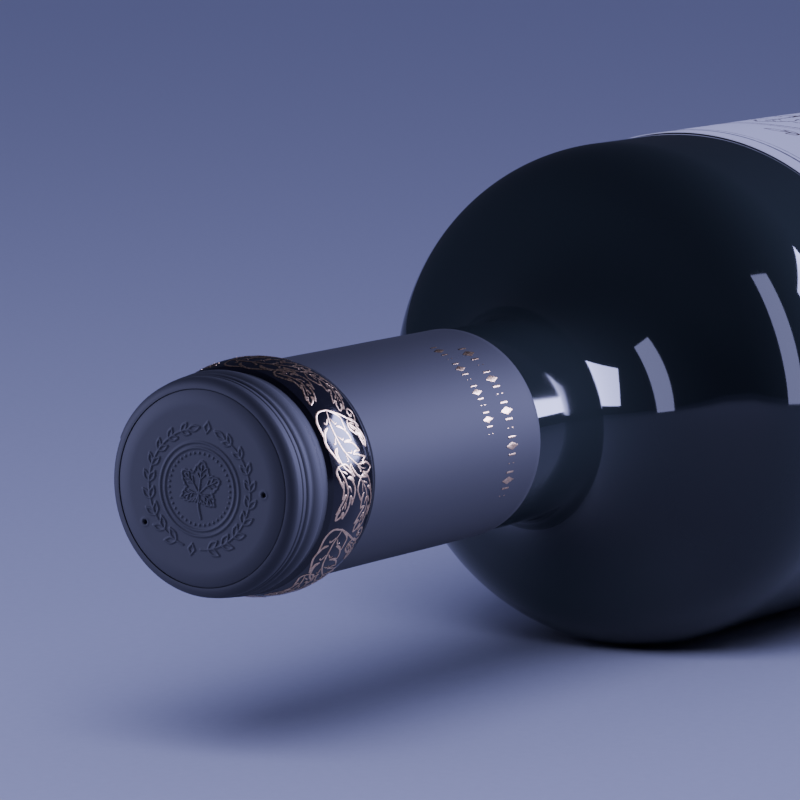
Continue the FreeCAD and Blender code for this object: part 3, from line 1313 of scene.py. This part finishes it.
@dataclass(frozen=True)
class FoilPrint:
    """The foil on the sleeve: the acanthus band, and two rows of small marks on the neck.

    Each row of marks has its piece's name, its place along the axis, a lozenge's height, the turn in degrees
    where it starts, and its repeats.
    """

    axis: Axis
    sleeve: Sleeve
    repeats: int = 6
    half: float = 0.15 * MM
    lift: float = 0.004 * MM
    thickness: float = 0.022 * MM
    first_turn: float = 0.35
    sheet_period: float = 16.75
    mark_pitch: float = 1.7
    mark_rows: tuple[tuple[str, float, float, float, int], ...] = (
        ("neck_marks_upper", 49.5 * MM, 2.4 * MM, 107, 4),
        ("neck_marks_lower", 54.8 * MM, 2.9 * MM, 112, 5))

    @property
    def period(self) -> float:
        """The length of one repeat of the band, round the crown."""
        return FULL_TURN * self.sleeve.band_crown / self.repeats

    def scroll(self) -> list[Stroke]:
        """One repeat of the acanthus scroll, drawn on a sheet whose first axis goes round the bottle.

        Returns:
            The repeat's strokes.
        """
        scale = self.period / self.sheet_period
        strokes: list[Stroke] = []
        for controls, width, lobes, fullness in (
                (((0.2, 2.6), (2.8, 1.9), (6.2, 2.6), (8.8, 5.6), (9.0, 8.6)), 2.5, 4, (1.0, 0.8)),
                (((8.2, 1.0), (10.6, 2.2), (12.4, 2.4), (15.6, 0.8)), 1.5, 3, (1.0, 0.55)),
                (((10.2, 5.2), (12.2, 6.9), (14.6, 7.2), (17.6, 5.2)), 1.9, 3, (0.8, 0.9)),
                (((2.6, 5.4), (4.0, 7.4), (6.2, 8.2)), 1.1, 2, (1.0, 0.8))):
            strokes += acanthus_leaf(np.array(controls) * scale, width * scale, lobes, self.half, fullness)
        strokes.append(spiral(1.2 * scale, 1.25, self.half, (1.4 * scale, 7.4 * scale), -0.4))
        stem = ((0.2, 2.6), (1.0, 4.2), (2.5, 6.9))
        strokes.append(drawn(smooth(stem) * scale, self.half, 0.3))
        return strokes

    def marks(self, size: float) -> list[Stroke]:
        """One repeat of a row on the neck: an upright lozenge between two bars, then two dots.

        Args:
            size: The lozenge's height.

        Returns:
            The repeat's strokes.
        """
        lozenge = np.array(((0.0, -0.5), (0.0, 0.0), (0.0, 0.5))) * size
        strokes = [Stroke(lozenge, np.array((0.02, 0.2, 0.02)) * size)]
        for x in (-0.42, 0.42):
            strokes.append(drawn(np.array(((x, -0.3), (x, 0.3))) * size, 0.05 * size))
        for y in (-0.2, 0.2):
            strokes.append(drawn(np.array(((0.82, y), (0.85, y))) * size, 0.075 * size))
        return strokes

    def make(self, printer: PrintTree) -> list[bpy.types.Object]:
        """Print the band and the two rows of marks.

        Args:
            printer: The tree that lays the strokes on the sleeve.

        Returns:
            The three pieces.
        """
        sleeve = self.sleeve
        common = {"Thickness": self.thickness, "Origin": self.axis.origin,
                  "Material": Finish.FOIL.material()}
        made = [printer.apply("band_foil", self.scroll(), Repeats=self.repeats,
                              Step=FULL_TURN / self.repeats, Start=self.first_turn, Begin=sleeve.band_start,
                              Width=sleeve.band_width, Edge_Radius=sleeve.band_edge,
                              Crown_Radius=sleeve.band_crown, Lift=self.lift, **common)]
        for name, place, size, start, count in self.mark_rows:
            step = self.mark_pitch * size / sleeve.radius
            made.append(printer.apply(name, self.marks(size), Repeats=count, Step=step,
                                      Start=math.radians(start) + step / 2, Begin=place, Width=1.0,
                                      Edge_Radius=sleeve.radius, Crown_Radius=sleeve.radius, Lift=0.0,
                                      **common))
        for piece in made:
            hand_over(piece, "gold_foil")
        return made


@dataclass(frozen=True)
class Label:
    """The paper label on the upper side of the body, with a ruled frame and plain ornament.

    The frames are insets and half widths, the bars are places, lengths and half widths, and the rings are
    radii and half widths, all in millimetres.
    """

    axis: Axis
    wrap: float = 92 * MM
    thickness: float = 0.15 * MM
    gap: float = 0.02 * MM
    edge_wear: float = 0.12 * MM
    cockle: float = 0.02 * MM
    ink_thickness: float = 0.025 * MM
    ink_seat: float = 0.03 * MM
    frames: tuple[tuple[float, float], ...] = ((4, 0.35), (5.4, 0.12))
    text_bars: tuple[tuple[float, float, float], ...] = ((62, 46, 1.5), (69, 34, 0.9), (75, 40, 0.45),
                                                         (78, 36, 0.45), (90, 20, 0.5))
    gold_bars: tuple[tuple[float, float, float], ...] = ((99, 74, 1.2), (102, 74, 0.3), (84, 74, 0.2))
    crest_place: float = 32 * MM
    crest_rings: tuple[tuple[float, float], ...] = ((12, 0.3), (13.2, 0.14))
    leaf: tuple[float, float] = (9 * MM, 0.28 * MM)
    wreath: Wreath = Wreath(17 * MM, 12, 140, 11, 3.6 * MM, 0.2 * MM)
    rows: int = 140
    columns: int = 150

    def reach(self) -> tuple[float, float]:
        """Where the label begins and ends along the axis."""
        low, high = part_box("label_paper")
        return low.x - self.axis.nose, high.x - self.axis.nose

    @property
    def inside(self) -> float:
        """The radius of the label's back."""
        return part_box("label_paper")[1].z - self.axis.height - self.thickness

    def paper(self) -> bpy.types.Object:
        """Build and dress the paper.

        Returns:
            The piece.
        """
        begin, end = self.reach()
        half = self.wrap / (self.inside - self.gap) / 2
        along = np.linspace(0, 1, self.rows)[:, None]
        across = np.linspace(-1, 1, self.columns)[None, :]
        wear = 0.5 + 0.5 * waves(along * 0.1, across * math.pi, height=1.0, pitch=0.02, seed=21)
        side = self.edge_wear / self.inside
        turn = math.pi / 2 + across * (half - side * wear)
        s = begin + self.edge_wear * wear + (end - begin - 2 * self.edge_wear * wear) * along
        swell = waves(along * 0.1, across * math.pi, self.cockle, pitch=0.06, seed=23)
        swell = np.clip(swell, -self.cockle, self.cockle)
        top = self.inside + self.thickness - self.cockle + swell * 0.9
        outer = self.axis.points(s, top, turn)
        inner = self.axis.points(s, self.inside + 0 * top, turn)
        points = np.concatenate((outer.reshape(-1, 3), inner.reshape(-1, 3)))
        number = np.arange(self.rows * self.columns).reshape(self.rows, self.columns)
        faces: list[list[int]] = []
        for layer in (number, number + number.size):
            corners = (layer[:-1, :-1], layer[:-1, 1:], layer[1:, 1:], layer[1:, :-1])
            faces += np.stack(corners, -1).reshape(-1, 4).tolist()
        border = np.concatenate((number[0, :-1], number[:-1, -1], number[-1, :0:-1], number[:0:-1, 0]))
        following = np.roll(border, -1)
        faces += np.stack((border, following, following + number.size, border + number.size), 1).tolist()
        piece = finish_mesh("label_sheet", points, faces, sharp_angle=0.7)
        set_finishes(piece, [Finish.PAPER.material()])
        hand_over(piece, "label_paper", "label_paper")
        return piece

    def rules(self, inset: float, half: float) -> Stroke:
        """A rectangle inside the label's edges, as one closed line.

        Args:
            inset: How far it stands from the edges.
            half: The line's half width.

        Returns:
            The stroke.
        """
        begin, end = self.reach()
        wide, tall = self.wrap / 2 - inset, end - begin - inset
        corners = ((-wide, inset), (wide, inset), (wide, tall), (-wide, tall), (-wide, inset))
        points = []
        for first, second in zip(corners, corners[1:]):
            count = math.ceil(math.dist(first, second) / (1.5 * MM))
            points += [np.array(first) + (np.array(second) - first) * i / count for i in range(count)]
        return drawn(np.array([*points, corners[-1]]), half)

    def bars(self, sizes: Sequence[tuple[float, float, float]]) -> list[Stroke]:
        """Lines across the label.

        Args:
            sizes: Each line's place from the neck edge, length and half width, in millimetres.

        Returns:
            The strokes.
        """
        across = np.linspace(-0.5, 0.5, 30)
        return [drawn(np.stack((across * wide * MM, np.full(30, y * MM)), 1), half * MM)
                for y, wide, half in sizes]

    def ink_lines(self) -> list[Stroke]:
        """The dark print: two frames, and plain bars in place of words."""
        return [self.rules(inset * MM, half * MM) for inset, half in self.frames] + self.bars(self.text_bars)

    def foil_lines(self) -> list[Stroke]:
        """The gold print: a vine leaf in a ring between two laurel branches, and three lines.

        Returns:
            The print's strokes.
        """
        crest = [ring(radius * MM, half * MM) for radius, half in self.crest_rings]
        crest += vine_leaf(*self.leaf) + self.wreath.strokes()
        placed = [stroke.moved(turn=math.pi, shift=(0.0, self.crest_place)) for stroke in crest]
        return placed + self.bars(self.gold_bars)

    def make(self, printer: PrintTree) -> None:
        """Build the paper and print it.

        Args:
            printer: The tree that lays the strokes on the paper.
        """
        self.paper()
        begin, _ = self.reach()
        top = self.inside + self.thickness - self.ink_seat
        for name, strokes, finish, slot in (("label_print", self.ink_lines(), Finish.INK, "label_ink"),
                                            ("label_foil", self.foil_lines(), Finish.FOIL, "gold_foil")):
            piece = printer.apply(name, strokes, Repeats=1, Step=0.0, Start=math.pi / 2, Begin=begin,
                                  Width=1.0, Edge_Radius=top, Crown_Radius=top, Lift=0.0,
                                  Thickness=self.ink_thickness, Origin=self.axis.origin,
                                  Material=finish.material())
            hand_over(piece, slot)


# ---------------------------------------------------------------------------------------------------------
# Studio
# ---------------------------------------------------------------------------------------------------------

class Lit(Enum):
    """What a light falls on, because flags keep the strong softboxes off the pale paper and floor."""

    BLACK = ("glass_body", "sleeve_film", "end_disc", "band_foil", "neck_marks_upper", "neck_marks_lower")
    PALE = ("studio_floor", "label_sheet", "label_print", "label_foil")

    def collection(self) -> bpy.types.Collection:
        """The collection of what is lit, which is made once."""
        name = "lit_" + self.name.lower()
        return bpy.data.collections.get(name) or bpy.data.collections.new(name)

    def gather(self) -> None:
        """Put the pieces that are lit in the collection."""
        for name in self.value:
            self.collection().objects.link(bpy.data.objects[name])


def hang(name: str, lamp: bpy.types.Light, power: float, tint: Colour, lit: Lit) -> bpy.types.Object:
    """Put a lamp in the scene.

    Args:
        name: The light's name.
        lamp: Its shape and size.
        power: Its strength.
        tint: Its colour.
        lit: What it falls on.

    Returns:
        The light.
    """
    lamp.energy = power
    lamp.color = tint
    light = bpy.data.objects.new(name, lamp)
    light.light_linking.receiver_collection = lit.collection()
    bpy.context.scene.collection.objects.link(light)
    return light


@dataclass(frozen=True)
class Softbox:
    """A soft light: where it stands as seen from the neck, its size in degrees, and its strength."""

    name: str
    azimuth: float
    elevation: float
    width: float
    height: float
    power: float
    lit: Lit
    distance: float = 0.9
    tint: Colour = (0.50, 0.52, 1.0)

    def make(self, target: Vector) -> bpy.types.Object:
        """Hang the light so that it faces a place.

        Args:
            target: The place.

        Returns:
            The light.
        """
        azimuth, elevation = math.radians(self.azimuth), math.radians(self.elevation)
        away = Vector((math.cos(azimuth) * math.cos(elevation), math.sin(azimuth) * math.cos(elevation),
                       math.sin(elevation)))
        lamp = bpy.data.lights.new(self.name, "AREA")
        lamp.shape = "RECTANGLE"
        lamp.size = 2 * self.distance * math.tan(math.radians(self.width / 2))
        lamp.size_y = 2 * self.distance * math.tan(math.radians(self.height / 2))
        light = hang(self.name, lamp, self.power, self.tint, self.lit)
        light.location = target + away * self.distance
        light.rotation_mode = "QUATERNION"
        light.rotation_quaternion = away.to_track_quat("Z", "Y")
        return light


@dataclass(frozen=True)
class Studio:
    """A plain pale floor, soft lights and the camera, whose eye is given from the end disc."""

    axis: Axis
    eye: tuple[float, float, float] = (-0.5721, -0.3891, 0.1029)
    heading: float = 0.5594
    dip: float = 0.1311
    lens: float = 241.6
    floor_size: float = 12.0
    aim: float = 60 * MM
    boxes: tuple[Softbox, ...] = field(default_factory=lambda: (
        Softbox("soft_right_back", -46, 21, 34, 30, 26.0, Lit.BLACK),
        Softbox("soft_right_front", -104, 21, 16, 52, 5.0, Lit.BLACK),
        Softbox("soft_left", 126, 8, 36, 16, 12.0, Lit.BLACK),
        Softbox("soft_foreground", 205, 48, 40, 40, 9.0, Lit.PALE),
    ))
    overhead: float = 1.15
    overhead_spread: float = math.radians(110)
    overhead_tint: Colour = (0.40, 0.425, 1.0)
    ambient: Colour = (0.024, 0.026, 0.05)

    def make(self) -> None:
        """Build the stage."""
        self.floor()
        neck = Vector(self.axis.origin) + Vector((self.aim, 0.0, 0.0))
        for box in self.boxes:
            box.make(neck)
        self.sky()
        world = bpy.data.worlds.new("studio_air")
        world.use_nodes = True
        background = world.node_tree.nodes["Background"]
        background.inputs["Color"].default_value = (*self.ambient, 1.0)
        background.inputs["Strength"].default_value = 1.0
        bpy.context.scene.world = world
        self.camera()

    def sky(self) -> None:
        """Hang a wide even light over the floor and the label."""
        lamp = bpy.data.lights.new("soft_overhead", "SUN")
        lamp.angle = self.overhead_spread
        hang("soft_overhead", lamp, self.overhead, self.overhead_tint, Lit.PALE)

    def floor(self) -> None:
        """Lay the floor under the bottle."""
        half = self.floor_size / 2
        mesh = bpy.data.meshes.new("studio_floor")
        mesh.from_pydata([(-half, -half, 0), (half, -half, 0), (half, half, 0), (-half, half, 0)], [],
                         [(0, 1, 2, 3)])
        mesh.materials.append(FloorFinish().make())
        floor = bpy.data.objects.new("studio_floor", mesh)
        bpy.context.scene.collection.objects.link(floor)

    def camera(self) -> None:
        """Set the camera in front of the neck, a little above it."""
        camera = bpy.data.objects.new("camera", bpy.data.cameras.new("camera"))
        camera.data.lens = self.lens
        camera.data.clip_start, camera.data.clip_end = 0.01, 50.0
        camera.location = Vector(self.axis.origin) + Vector(self.eye)
        forward = Vector((math.cos(self.dip) * math.cos(self.heading),
                          math.cos(self.dip) * math.sin(self.heading), -math.sin(self.dip)))
        camera.rotation_mode = "QUATERNION"
        camera.rotation_quaternion = forward.to_track_quat("-Z", "Y")
        bpy.context.scene.collection.objects.link(camera)
        bpy.context.scene.camera = camera


def main() -> None:
    """Build the bottle and the studio."""
    logging.basicConfig(level=logging.INFO, format="%(name)s: %(message)s")
    axis = Axis.from_frame()
    Studio(axis).make()
    Glass(axis).make()
    sleeve = Sleeve(axis)
    sleeve.make()
    Disc(axis).make()
    printer = PrintTree()
    FoilPrint(axis, sleeve).make(printer)
    Label(axis).make(printer)
    for lit in Lit:
        lit.gather()


if __name__ == "__main__":
    main()
